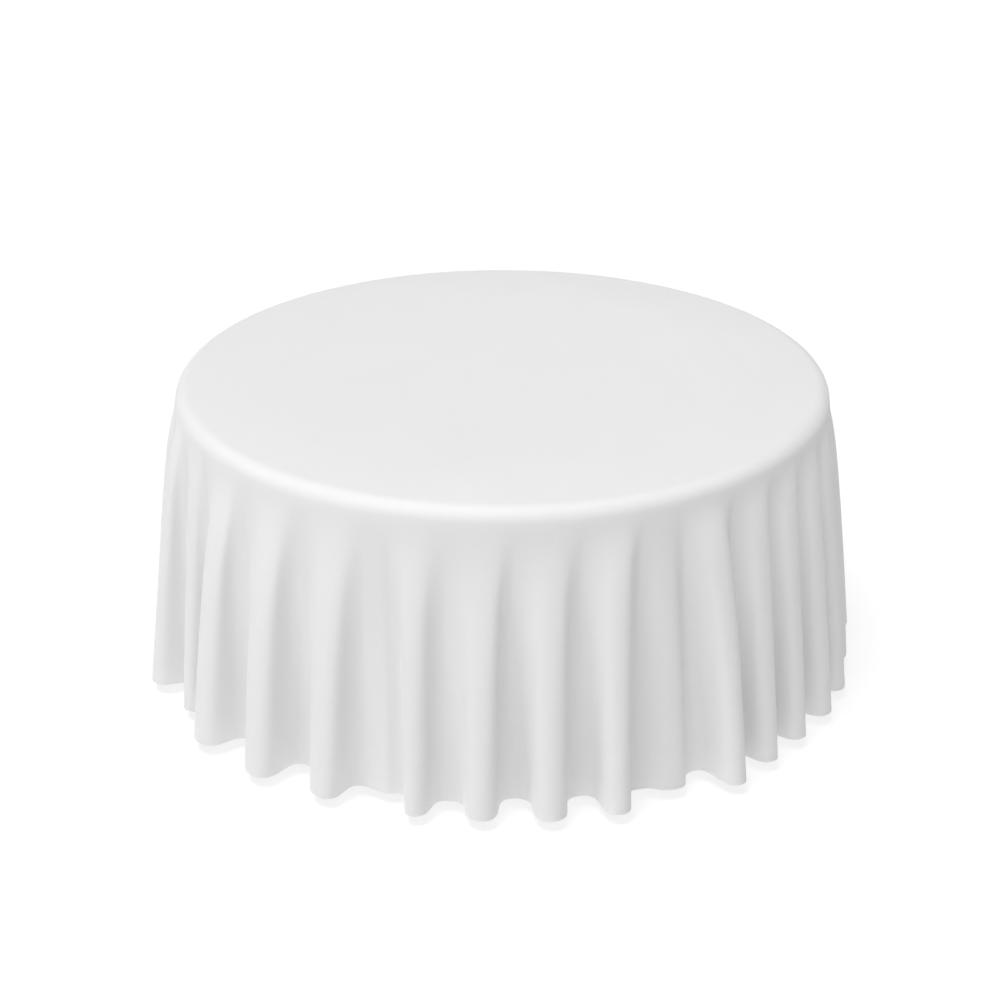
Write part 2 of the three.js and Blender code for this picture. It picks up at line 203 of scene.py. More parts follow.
PUCKER_PITCH = 0.009            # from one pucker of the hem's seam to the next, in metres
SEAM_PULL = 0.002               # how far to each side the seam pulls the cloth in, in metres

# The care label, in metres: how far its upper end leans towards the cloth, how far its middle hangs in,
# how far it bows across at its lower end, its thickness, the pitch of its ribs, and where its woven edge
# begins and ends, from its middle line.
LABEL_LEAN = 0.008
LABEL_SAG = 0.002
LABEL_BOW = 0.003
LABEL_THICKNESS = 0.0004
LABEL_RIB = 0.0004
LABEL_EDGE = (0.0125, 0.0132)

LIGHT_DISTANCE = 5
FLOOR_REACH = 40


def fold_columns(columns_per_fold, drop):
    """The folds at columns equally far apart along the hem of each fold, as one array for each fact.

    direction and top are in radians at the hem and at the table's edge, crest and hollow the reach in
    metres beyond the mean, fall how near the column is to the crest, from 0 to 1, crest_build and
    hollow_build the share of the drop in which the fold builds up, fullness how deep the hollow is beside
    a full fold, and material the column's direction in the round cut, in radians.
    """
    steps = np.arange(FOLD_SAMPLES) / FOLD_SAMPLES
    parts = {name: [] for name in (
        "direction", "fall", "crest", "hollow", "crest_build", "hollow_build", "fullness")}
    marks = []

    def half(start_at, end_at, falls, crest, hollow, crest_build, hollow_build, fullness):
        roundness = FOLD_ROUNDNESS * min(abs(crest - hollow) / FULL_FOLD, 1.0)
        along = steps + roundness / (2 * np.pi) * np.sin(2 * np.pi * steps)
        parts["direction"].append(start_at + (end_at - start_at) * along)
        parts["fall"].append(falls)
        for name, value in (("crest", crest), ("hollow", hollow),
                            ("crest_build", crest_build), ("hollow_build", hollow_build),
                            ("fullness", fullness)):
            parts[name].append(np.full(FOLD_SAMPLES, value, dtype=float))

    fall = (1 + np.cos(np.pi * steps)) / 2
    for number, (crest_at, crest, hollow_at, hollow, build, _) in enumerate(FOLDS):
        next_at, next_crest, _, _, next_build, _ = FOLDS[(number + 1) % len(FOLDS)]
        next_at += 360 if next_at <= crest_at else 0
        marks.append(2 * number * FOLD_SAMPLES)
        fullness = min((min(crest, next_crest) - hollow) / FULL_FOLD, 1.0)
        half(crest_at, hollow_at, fall, crest, hollow, build, build, fullness)
        half(hollow_at, next_at, 1 - fall, next_crest, hollow, next_build, build, fullness)
    marks.append(2 * len(FOLDS) * FOLD_SAMPLES)
    facts = {name: np.concatenate(values) for name, values in parts.items()}
    facts["direction"] = np.radians(facts["direction"])
    for name in ("crest", "hollow"):
        facts[name] = (facts[name] - MEAN_REACH) / 1000
    for name in ("crest_build", "hollow_build"):
        facts[name] /= 1000 * drop

    radius = TABLE_HIGH.x + MEAN_REACH / 1000
    radius = radius + facts["hollow"] + (facts["crest"] - facts["hollow"]) * facts["fall"]
    points = np.stack([radius * np.cos(facts["direction"]), radius * np.sin(facts["direction"])], axis=1)
    lengths = np.linalg.norm(np.roll(points, -1, axis=0) - points, axis=1)
    run = np.concatenate([[0.0], np.cumsum(lengths)])
    wanted = np.concatenate([
        run[a] + (run[b] - run[a]) * np.arange(columns_per_fold) / columns_per_fold
        for a, b in zip(marks[:-1], marks[1:])])
    facts["direction"] = np.append(facts["direction"], facts["direction"][0] + 2 * np.pi)
    columns = {}
    for name, values in facts.items():
        closed = values if name == "direction" else np.append(values, values[0])
        columns[name] = np.interp(wanted, run, closed)
    crests = [row[0] + row[5] for row in FOLDS]
    crests = np.radians(crests + [crests[0] + 360])
    columns["top"] = np.interp(np.arange(len(wanted)) / columns_per_fold, np.arange(len(crests)), crests)
    material = 2 * np.pi * (wanted / run[-1])
    columns["material"] = material + np.mean(columns["direction"] - material)
    return columns


def swing(part, build):
    """The share of its reach that a fold has at part of the drop, if it builds up over build of it."""
    return part ** FOLD_GROWTH * (1 - np.exp(-(part / build) ** BUILD_STEEPNESS))


class Drape:
    """The cloth's shape: where any point of the round cut hangs."""

    def __init__(self, settings):
        self.edge = settings.edge_radius + settings.thickness
        self.flat_radius = TABLE_HIGH.x - settings.edge_radius
        self.edge_top = TABLE_HIGH.z - settings.edge_radius
        self.edge_length = self.edge * math.pi / 2
        self.skirt_length = settings.cut_radius - self.flat_radius - self.edge_length
        self.drop = self.edge_top - CLOTH_LOW.z
        self.fold = fold_columns(settings.columns_per_fold, self.drop)
        self.rows = settings.skirt_rows

    def skirt(self, part):
        """The ring of points at that share of the way from the table's edge to the hem."""
        fold = self.fold
        sharpness = CREST_SHARPNESS[0] + (CREST_SHARPNESS[1] - CREST_SHARPNESS[0]) * part
        near_crest = fold["fall"] ** sharpness
        reach = MEAN_REACH / 1000 * part
        reach = reach + fold["crest"] * swing(part, fold["crest_build"]) * near_crest
        reach = reach + fold["hollow"] * swing(part, fold["hollow_build"]) * (1 - near_crest)
        reach = (reach + np.sqrt(reach ** 2 + LEAST_REACH ** 2)) / 2
        radius = self.flat_radius + self.edge + reach
        build = fold["crest_build"] * fold["fall"] + fold["hollow_build"] * (1 - fold["fall"])
        turned = (1 - np.exp(-part / (FOLD_TURN * build))) / (1 - np.exp(-1 / (FOLD_TURN * build)))
        angle = fold["top"] + (fold["direction"] - fold["top"]) * turned
        skew = FOLD_SKEW * math.sin(math.pi * part ** SKEW_RISE)
        angle = angle - skew * fold["fullness"] * (1 - near_crest)
        height = np.full_like(angle, self.edge_top - self.drop * part)
        return np.stack([radius * np.cos(angle), radius * np.sin(angle), height], axis=1)

    def outward(self, part):
        """The direction that the outer face looks in, along the ring at that share of the skirt."""
        here, above = self.skirt(part), self.skirt(part - FACE_STEP)
        along = np.roll(here, -1, axis=0) - np.roll(here, 1, axis=0)
        face = np.cross(along, above - here)
        return face / np.linalg.norm(face, axis=1, keepdims=True)

    def beside(self, height, offset):
        """The ring at that height above the hem, moved off the outer face by offset."""
        part = 1 - height / self.skirt_length
        return self.skirt(part) + self.outward(min(part, 1.0)) * offset

    def cut(self, radius):
        """Where a ring of the skirt lay in the round cut."""
        material = self.fold["material"]
        return np.stack([radius * np.cos(material), radius * np.sin(material)], axis=1)

    def grid(self):
        """Rings of points from the middle to the hem, with where each lay in the cut."""
        top = self.fold["top"]
        rings, cuts = [], []

        def level_ring(radius, height, cut):
            level = np.full_like(top, height)
            rings.append(np.stack([radius * np.cos(top), radius * np.sin(top), level], axis=1))
            cuts.append(self.cut(cut))

        for part in TOP_RINGS:
            level_ring(self.flat_radius * part, self.edge_top + self.edge, self.flat_radius * part)
        for step in range(1, EDGE_STEPS + 1):
            turn = math.pi / 2 * step / EDGE_STEPS
            level_ring(self.flat_radius + self.edge * math.sin(turn),
                       self.edge_top + self.edge * math.cos(turn),
                       self.flat_radius + self.edge * turn)
        for step in range(1, self.rows + 1):
            part = (step / self.rows) ** ROW_GROWTH
            rings.append(self.skirt(part))
            cuts.append(self.cut(self.flat_radius + self.edge_length + self.skirt_length * part))
        return np.array(rings), np.array(cuts)


def write_cut_map(mesh, cut, cut_radius):
    """Writes where each corner lay in the round cut as the UV map "cut", 0 to 1 across it."""
    layer = mesh.uv_layers.new(name="cut")
    corner = np.zeros(len(mesh.loops), dtype=np.int32)
    mesh.loops.foreach_get("vertex_index", corner)
    layer.data.foreach_set("uv", (cut[corner] / (2 * cut_radius) + 0.5).astype(np.float32).ravel())


def cloth_mesh(drape, settings):
    """The hanging cloth: a fan round the middle, then bands of quads down to the hem."""
    rings, cuts = drape.grid()
    count = rings.shape[1]
    crown = (0.0, 0.0, drape.edge_top + drape.edge)
    points = np.concatenate([[crown], rings.reshape(-1, 3)])
    sides = [(here, (here + 1) % count) for here in range(count)]
    faces = [(0, 1 + a, 1 + b) for a, b in sides]
    for ring in range(len(rings) - 1):
        upper, lower = 1 + ring * count, 1 + (ring + 1) * count
        faces += [(upper + a, lower + a, lower + b, upper + b) for a, b in sides]
    mesh = bpy.data.meshes.new("cloth")
    mesh.from_pydata(points.tolist(), [], faces)
    write_cut_map(mesh, np.concatenate([[(0.0, 0.0)], cuts.reshape(-1, 2)]), settings.cut_radius)
    mesh.shade_smooth()
    # The bottom edge is sharp, because the wall's narrow rim meets the face there at a right angle.
    bottom = len(points) - count
    for edge in mesh.edges:
        edge.use_edge_sharp = min(edge.vertices) >= bottom
    mesh.update()
    return mesh


def hem_mesh(drape, settings):
    """The turned-up hem: the cloth folded round its bottom edge and laid flat against its inner face."""
    wall = settings.thickness
    inner, outer = -2 * wall - HEM_GAP, -wall - HEM_GAP
    # Round the hem's section: how far off the cloth's outer face, and how high above its bottom edge.
    section = (
        (0.0, 0.0), (-0.2 * wall, -0.6 * wall), (-1.0 * wall, -wall), (-1.8 * wall, -0.6 * wall),
        (inner, 0.0), (inner, settings.hem_width), (outer, settings.hem_width),
        (outer, 0.0), (-0.6 * wall, -0.1 * wall))
    rings = np.array([drape.beside(height, offset) for offset, height in section])
    count = rings.shape[1]
    faces = []
    for ring in range(len(section)):
        start, after = ring * count, (ring + 1) % len(section) * count
        for column in range(count):
            following = (column + 1) % count
            faces.append((start + column, after + column, after + following, start + following))
    mesh = bpy.data.meshes.new("hem")
    mesh.from_pydata(rings.reshape(-1, 3).tolist(), [], faces)
    cut = np.concatenate([drape.cut(settings.cut_radius - height) for _, height in section])
    write_cut_map(mesh, cut, settings.cut_radius)
    mesh.shade_smooth()
    mesh.update()
    return mesh


def label_mesh(settings):
    """The care label: a short ribbon sewn along its upper end to the inside of the cloth."""
    low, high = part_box("care_label")
    middle = (low + high) / 2
    direction = math.atan2(middle.y, middle.x)
    distance = math.hypot(middle.x, middle.y)
    width = math.dist((low.x, low.y), (high.x, high.y))
    out = Vector((math.cos(direction), math.sin(direction), 0))
    side = Vector((-out.y, out.x, 0))
    rows, columns = 14, 8
    mesh = bpy.data.meshes.new("care_label")
    points, uvs = [], []
    for row in range(rows + 1):
        down = row / rows
        away = distance + LABEL_LEAN * (1 - down) ** 2 - LABEL_SAG * math.sin(math.pi * down)
        for column in range(columns + 1):
            across = column / columns - 0.5
            bow = LABEL_BOW * down * (1 - 4 * across * across)
            place = out * (away - bow) + side * (across * width)
            points.append((place.x, place.y, high.z - (high.z - low.z) * down))
            uvs.append((across * width, down * (high.z - low.z)))
    faces = []
    for row in range(rows):
        for column in range(columns):
            corner = row * (columns + 1) + column
            faces.append((corner, corner + columns + 1, corner + columns + 2, corner + 1))
    mesh.from_pydata(points, [], faces)
    layer = mesh.uv_layers.new(name="ribbon")
    for loop in mesh.loops:
        layer.data[loop.index].uv = uvs[loop.vertex_index]
    mesh.shade_smooth()
    mesh.update()
    return mesh


# ------------------------------------------------------------------ stitching

def stitch_tree(thread, sizes):
    """Lays one short stitch of thread at each step along the sewing line."""
    tree = bpy.data.node_groups.new("stitches", "GeometryNodeTree")
    tree.interface.new_socket("Geometry", in_out="INPUT", socket_type="NodeSocketGeometry")
    for name, value in sizes.items():
        socket = tree.interface.new_socket(name, in_out="INPUT", socket_type="NodeSocketFloat")
        socket.subtype = "DISTANCE"
        socket.default_value = value
        socket.min_value = 0.0001
    tree.interface.new_socket("Geometry", in_out="OUTPUT", socket_type="NodeSocketGeometry")
    new, link = tree.nodes.new, tree.links.new
    given, made = new("NodeGroupInput"), new("NodeGroupOutput")
    line = new("GeometryNodeMeshToCurve")
    link(given.outputs["Geometry"], line.inputs["Mesh"])
    steps = new("GeometryNodeResampleCurve")
    steps.mode = "LENGTH"
    link(line.outputs["Curve"], steps.inputs["Curve"])
    link(given.outputs["Pitch"], steps.inputs["Length"])
    stitch = new("GeometryNodeMeshUVSphere")
    stitch.inputs["Segments"].default_value = 6
    stitch.inputs["Rings"].default_value = 4
    stitch.inputs["Radius"].default_value = 1.0
    half = new("ShaderNodeMath")
    half.operation = "MULTIPLY"
    half.inputs[1].default_value = 0.5
    link(given.outputs["Stitch Length"], half.inputs[0])
    size = new("ShaderNodeCombineXYZ")
    link(given.outputs["Thread Radius"], size.inputs["X"])
    link(given.outputs["Thread Radius"], size.inputs["Y"])
    link(half.outputs[0], size.inputs["Z"])
    tangent = new("GeometryNodeInputTangent")
    turn = new("FunctionNodeAlignRotationToVector")
    turn.axis = "Z"
    link(tangent.outputs["Tangent"], turn.inputs["Vector"])
    lay = new("GeometryNodeInstanceOnPoints")
    link(steps.outputs["Curve"], lay.inputs["Points"])
    link(stitch.outputs["Mesh"], lay.inputs["Instance"])
    link(turn.outputs["Rotation"], lay.inputs["Rotation"])
    link(size.outputs["Vector"], lay.inputs["Scale"])
    real = new("GeometryNodeRealizeInstances")
    link(lay.outputs["Instances"], real.inputs["Geometry"])
    smooth = new("GeometryNodeSetShadeSmooth")
    link(real.outputs["Geometry"], smooth.inputs["Geometry"])
    finish = new("GeometryNodeSetMaterial")
    finish.inputs["Material"].default_value = thread
    link(smooth.outputs["Geometry"], finish.inputs["Geometry"])
    link(finish.outputs["Geometry"], made.inputs["Geometry"])
    return tree


def sewn(name, seam, settings, thread):
    """A row of stitches all round a closed seam, as one plain mesh."""
    count = len(seam)
    path = bpy.data.meshes.new(name)
    path.from_pydata(seam.tolist(), [(i, (i + 1) % count) for i in range(count)], [])
    piece = new_object(name, path)
    sizes = {"Pitch": settings.stitch_pitch, "Stitch Length": settings.stitch_length,
             "Thread Radius": settings.stitch_radius}
    nodes = piece.modifiers.new("stitches", "NODES")
    nodes.node_group = stitch_tree(thread, sizes)
    for item in nodes.node_group.interface.items_tree:
        if item.item_type == "SOCKET" and item.name in sizes:
            nodes[item.identifier] = sizes[item.name]
    made = bpy.data.meshes.new_from_object(piece.evaluated_get(bpy.context.evaluated_depsgraph_get()))
    piece.modifiers.remove(nodes)
    piece.data = made
    made.name = name
    bpy.data.meshes.remove(path)
    return piece


# ------------------------------------------------------------------ materials

class Finish:
    """A material under construction: its nodes, its links and its main shader."""

    def __init__(self, name, roughness, color, metallic=0.0):
        self.material = bpy.data.materials.new(name)
        self.material.use_nodes = True
        self.tree = self.material.node_tree
        self.main = self.tree.nodes["Principled BSDF"]
        self.main.inputs["Base Color"].default_value = (*color, 1.0)
        self.main.inputs["Roughness"].default_value = roughness
        self.main.inputs["Metallic"].default_value = metallic

    def node(self, kind, **inputs):
        made = self.tree.nodes.new(kind)
        for name, value in inputs.items():
            self.put(made.inputs[name.replace("_", " ")], value)
        return made

    def put(self, socket, value):
        if isinstance(value, bpy.types.NodeSocket):
            self.tree.links.new(value, socket)
        else:
            socket.default_value = value

    def math(self, operation, first, second=0.0, third=0.0):
        made = self.tree.nodes.new("ShaderNodeMath")
        made.operation = operation
        for socket, value in zip(made.inputs, (first, second, third)):
            self.put(socket, value)
        return made.outputs[0]

    def between(self, value, low, high, to_low, to_high):
        made = self.node("ShaderNodeMapRange", Value=value)
        for name, number in (
                ("From Min", low), ("From Max", high), ("To Min", to_low), ("To Max", to_high)):
            made.inputs[name].default_value = number
        return made.outputs["Result"]

    def place(self):
        return self.node("ShaderNodeTexCoord").outputs["Object"]

    def scaled(self, vector, x, y, z):
        made = self.node("ShaderNodeVectorMath")
        made.operation = "MULTIPLY"
        self.put(made.inputs[0], vector)
        made.inputs[1].default_value = (x, y, z)
        return made.outputs["Vector"]

    def noise(self, vector, scale, detail=2.0, roughness=0.5):
        made = self.node(
            "ShaderNodeTexNoise", Vector=vector, Scale=scale, Detail=detail, Roughness=roughness)
        return made.outputs["Fac"]

    def mixed(self, amount, first, second):
        made = self.node("ShaderNodeMix")
        made.data_type = "RGBA"
        colors = [socket for socket in made.inputs if socket.type == "RGBA"]
        self.put(made.inputs["Factor"], amount)
        self.put(colors[0], first)
        self.put(colors[1], second)
        return next(socket for socket in made.outputs if socket.type == "RGBA")

    def bump(self, height, distance, strength=1.0, over=None):
        made = self.node("ShaderNodeBump", Height=height, Distance=distance, Strength=strength)
        if over is not None:
            self.put(made.inputs["Normal"], over)
        return made.outputs["Normal"]

    def set(self, name, value):
        self.put(self.main.inputs[name], value)


def shade(color, amount):
    """The colour made lighter or darker by that factor."""
    return tuple(min(channel * amount, 1.0) for channel in color) + (1.0,)


def woven(finish, threads):
    """Height of a plain weave, 0 to 1, where threads counts threads along both ways of the cloth."""
    split = finish.node("ShaderNodeSeparateXYZ", Vector=threads)
    x, y = split.outputs["X"], split.outputs["Y"]
    over_x = finish.math("ABSOLUTE", finish.math("SINE", finish.math("MULTIPLY", x, math.pi)))
    over_y = finish.math("ABSOLUTE", finish.math("SINE", finish.math("MULTIPLY", y, math.pi)))
    cells = finish.math("ADD", finish.math("FLOOR", x), finish.math("FLOOR", y))
    parity = finish.math("FLOORED_MODULO", cells, 2.0)
    first = finish.math("MULTIPLY", over_x, finish.math("SUBTRACT", 1.0, parity))
    return finish.math("MULTIPLY_ADD", over_y, parity, first)


def cloth_material(settings):
    """White plain weave: thread over thread, uneven yarn, painted shade where the weave dips, soft sheen,
    and a hem pulled in by its seam.
    """
    finish = Finish("white_cloth", 0.7, color=settings.color)
    across = 2 * settings.cut_radius
    cut = finish.node("ShaderNodeUVMap")
    cut.uv_map = "cut"
    flat = finish.scaled(cut.outputs["UV"], across, across, 0)
    weave = woven(finish, finish.scaled(flat, 1 / settings.thread_pitch, 1 / settings.thread_pitch, 0))
    weft = finish.noise(finish.scaled(flat, 9, 420, 0), 1.0, 2.0)
    warp = finish.noise(finish.scaled(flat, 420, 7, 0), 1.0, 2.0)
    yarn = finish.math("ADD", finish.math("MULTIPLY", weft, 0.65), finish.math("MULTIPLY", warp, 0.35))
    cloud = finish.noise(flat, 6.0, 3.0)
    uneven = finish.between(yarn, 0.35, 0.65, 0.0, 1.0)
    color = finish.mixed(uneven, shade(settings.color, 0.99), shade(settings.color, 1.01))
    # Painted shade: the colour darkens where the weave dips between threads.
    color = finish.mixed(finish.between(weave, 0.0, 0.35, 0.25, 0.0), color, shade(settings.color, 0.86))
    finish.set("Base Color", color)
    rough = finish.between(yarn, 0.3, 0.7, -0.05, 0.05)
    finish.set("Roughness", finish.math("ADD", rough, finish.between(cloud, 0.3, 0.7, 0.64, 0.74)))
    finish.set("Sheen Weight", 0.2)
    finish.set("Sheen Roughness", 0.45)
    finish.set("Specular IOR Level", 0.5)

    centred = finish.node("ShaderNodeVectorMath")
    centred.operation = "SUBTRACT"
    finish.put(centred.inputs[0], flat)
    centred.inputs[1].default_value = (settings.cut_radius, settings.cut_radius, 0)
    length = finish.node("ShaderNodeVectorMath")
    length.operation = "LENGTH"
    finish.put(length.inputs[0], centred.outputs["Vector"])
    above = finish.math("SUBTRACT", settings.cut_radius, length.outputs["Value"])
    hem = finish.between(above, settings.hem_width + 0.0006, settings.hem_width - 0.0006, 0.0, 1.0)
    off_seam = finish.math("ABSOLUTE", finish.math("SUBTRACT", above, settings.stitch_height))
    pulled = finish.between(off_seam, 0.0, SEAM_PULL, 1.0, 0.0)
    split = finish.node("ShaderNodeSeparateXYZ", Vector=centred.outputs["Vector"])
    turn = finish.math("ARCTAN2", split.outputs["Y"], split.outputs["X"])
    pucker_turns = finish.math("MULTIPLY", turn, 2 * math.pi * settings.cut_radius / PUCKER_PITCH)
    puckers = finish.math("SINE", pucker_turns)
    pull = finish.math("MULTIPLY", pulled, finish.math("MULTIPLY_ADD", puckers, 0.3, 0.7))

    # Faint ripples where the cloth lies flat, then the hem, the pull of its seam, the yarn and the weave.
    lying = finish.between(length.outputs["Value"], 0.55, 0.72, 1.0, 0.0)
    ripples = finish.math("MULTIPLY", finish.noise(finish.scaled(flat, 5, 12, 0), 1.0, 2.0), lying)
    normal = finish.bump(ripples, 0.001)
    normal = finish.bump(hem, 0.0004, over=normal)
    normal = finish.bump(pull, -0.0005, over=normal)
    normal = finish.bump(yarn, 0.0003, 0.08, over=normal)
    normal = finish.bump(weave, 0.00012, 0.5, over=normal)
    finish.set("Normal", normal)
    return finish.material


def thread_material(settings):
    """White twisted sewing thread."""
    finish = Finish("sewing_thread", 0.5, color=settings.color)
    ply = finish.noise(finish.place(), 2600.0, 1.0)
    finish.set("Base Color", finish.mixed(ply, shade(settings.color, 0.88), shade(settings.color, 1.08)))
    finish.set("Sheen Weight", 0.1)
    finish.set("Normal", finish.bump(ply, 0.0001))
    return finish.material


def label_material(settings):
    """Satin ribbon: fine cross ribs, a slight shine and a darker woven edge."""
    finish = Finish("satin_label", 0.38, color=settings.label_color)
    ribbon = finish.node("ShaderNodeUVMap")
    ribbon.uv_map = "ribbon"
    split = finish.node("ShaderNodeSeparateXYZ", Vector=ribbon.outputs["UV"])
    turns = finish.math("MULTIPLY", split.outputs["Y"], math.pi / LABEL_RIB)
    ribs = finish.math("ABSOLUTE", finish.math("SINE", turns))
    side = finish.math("ABSOLUTE", split.outputs["X"])
    edge = finish.between(side, *LABEL_EDGE, 0.0, 1.0)
    threads = finish.noise(finish.scaled(ribbon.outputs["UV"], 4000, 60, 0), 1.0, 1.0)
    plain = finish.mixed(threads, shade(settings.label_color, 0.95), shade(settings.label_color, 1.03))
    finish.set("Base Color", finish.mixed(edge, plain, shade(settings.label_color, 0.84)))
    finish.set("Roughness", finish.between(threads, 0.3, 0.7, 0.32, 0.46))
    finish.set("Sheen Weight", 0.15)
    finish.set("Normal", finish.bump(ribs, 0.00006))
    return finish.material


def resin_material(settings):
    """Blow-moulded resin: a pebbled skin, faint flow marks, and dark specks of dirt."""
    finish = Finish("moulded_resin", 0.5, color=settings.resin_color)
    place = finish.place()
    pebbles = finish.node("ShaderNodeTexVoronoi", Vector=place, Scale=420.0)
    pebbles.feature = "SMOOTH_F1"
    flow = finish.noise(finish.scaled(place, 2.0, 9.0, 9.0), 1.0, 4.0, 0.6)
    specks = finish.between(finish.noise(place, 160.0, 3.0, 0.7), 0.62, 0.72, 0.0, 0.25)
    color = finish.mixed(flow, shade(settings.resin_color, 0.95), shade(settings.resin_color, 1.04))
    finish.set("Base Color", finish.mixed(specks, color, shade(settings.resin_color, 0.78)))
    finish.set("Roughness", finish.between(flow, 0.3, 0.7, 0.44, 0.58))
    finish.set("Normal", finish.bump(pebbles.outputs["Distance"], 0.0003, 0.6))
    return finish.material


def coated_material(settings):
    """Powder-coated steel: orange-peel skin, with scuffs where parts rub."""
    finish = Finish("powder_coated_steel", 0.45, color=settings.steel_color)
    place = finish.place()
    peel = finish.noise(place, 900.0, 2.0)
    wear = finish.noise(finish.scaled(place, 18, 18, 30), 1.0, 5.0, 0.65)
    scuffs = finish.between(wear, 0.60, 0.72, 0.0, 0.55)
    color = finish.mixed(scuffs, shade(settings.steel_color, 1.0), shade(settings.steel_color, 1.7))
    edges = finish.node("ShaderNodeNewGeometry").outputs["Pointiness"]
    rubbed = finish.between(edges, 0.53, 0.60, 0.0, 0.6)
    finish.set("Base Color", finish.mixed(rubbed, color, shade(settings.steel_color, 2.2)))
    finish.set("Metallic", finish.between(rubbed, 0.0, 0.6, 0.15, 0.6))
    finish.set("Roughness", finish.between(wear, 0.3, 0.7, 0.40, 0.56))
    finish.set("Normal", finish.bump(peel, 0.0002, 0.4))
    return finish.material


def zinc_material(settings):
    """Zinc plate: a fine spangle, drawn lines and dull patches."""
    finish = Finish("zinc_plate", 0.35, metallic=0.9, color=settings.zinc_color)
    place = finish.place()
    spangle = finish.node("ShaderNodeTexVoronoi", Vector=place, Scale=260.0).outputs["Color"]
    grey = finish.node("ShaderNodeRGBToBW", Color=spangle).outputs["Val"]
    dull = finish.noise(place, 40.0, 4.0, 0.6)
    dark, bright = shade(settings.zinc_color, 0.86), shade(settings.zinc_color, 1.12)
    finish.set("Base Color", finish.mixed(grey, dark, bright))
    finish.set("Roughness", finish.math("ADD", finish.between(dull, 0.3, 0.7, 0.26, 0.42),
                                        finish.between(grey, 0.0, 1.0, -0.03, 0.03)))
    drawn = finish.noise(finish.scaled(place, 30, 900, 900), 1.0, 1.0)
    finish.set("Normal", finish.bump(drawn, 0.00005, 0.6))
    return finish.material


def rubber_material(settings):
    """Black rubber: dusty and matt, with a fine grain."""
    finish = Finish("foot_rubber", 0.85, color=settings.rubber_color)
    place = finish.place()
    dust = finish.noise(place, 55.0, 5.0, 0.65)
    height = finish.node("ShaderNodeSeparateXYZ", Vector=place).outputs["Z"]
    low = finish.math("MULTIPLY", finish.between(height, 0.0, 0.012, 0.8, 0.1), dust)
    finish.set("Base Color", finish.mixed(low, shade(settings.rubber_color, 1.0), (0.16, 0.15, 0.14, 1.0)))
    finish.set("Roughness", finish.between(dust, 0.3, 0.7, 0.72, 0.92))
    finish.set("Normal", finish.bump(finish.noise(place, 1400.0, 1.0), 0.00015, 0.5))
    return finish.material


def nylon_material(settings):
    """Natural nylon: slightly waxy, with turning marks and patches of grey grime."""
    finish = Finish("natural_nylon", 0.42, color=settings.nylon_color)
    place = finish.place()
    marks = finish.noise(finish.scaled(place, 300, 2600, 300), 1.0, 1.0)
    grime = finish.between(finish.noise(place, 120.0, 4.0, 0.6), 0.45, 0.7, 0.0, 0.45)
    clean, grey = shade(settings.nylon_color, 1.0), shade(settings.nylon_color, 0.7)
    finish.set("Base Color", finish.mixed(grime, clean, grey))
    finish.set("Roughness", finish.between(marks, 0.3, 0.7, 0.36, 0.5))
    finish.set("Subsurface Weight", 0.05)
    finish.set("Normal", finish.bump(marks, 0.00004, 0.6))
    return finish.material


def floor_material(studio):
    """Painted board that gives off light, so that little shade shows on it."""
    finish = Finish("pale_floor", 0.9, color=(0.2, 0.2, 0.2))
    paint = finish.noise(finish.place(), 14.0, 2.0)
    finish.set("Roughness", finish.between(paint, 0.3, 0.7, 0.86, 0.94))
    finish.set("Emission Color", (1, 1, 1, 1))
    finish.set("Emission Strength", studio.floor_glow)
    return finish.material


# ------------------------------------------------------------------ operators

def new_object(name, mesh):
    piece = bpy.data.objects.new(name, mesh)
    bpy.context.scene.collection.objects.link(piece)
    return piece


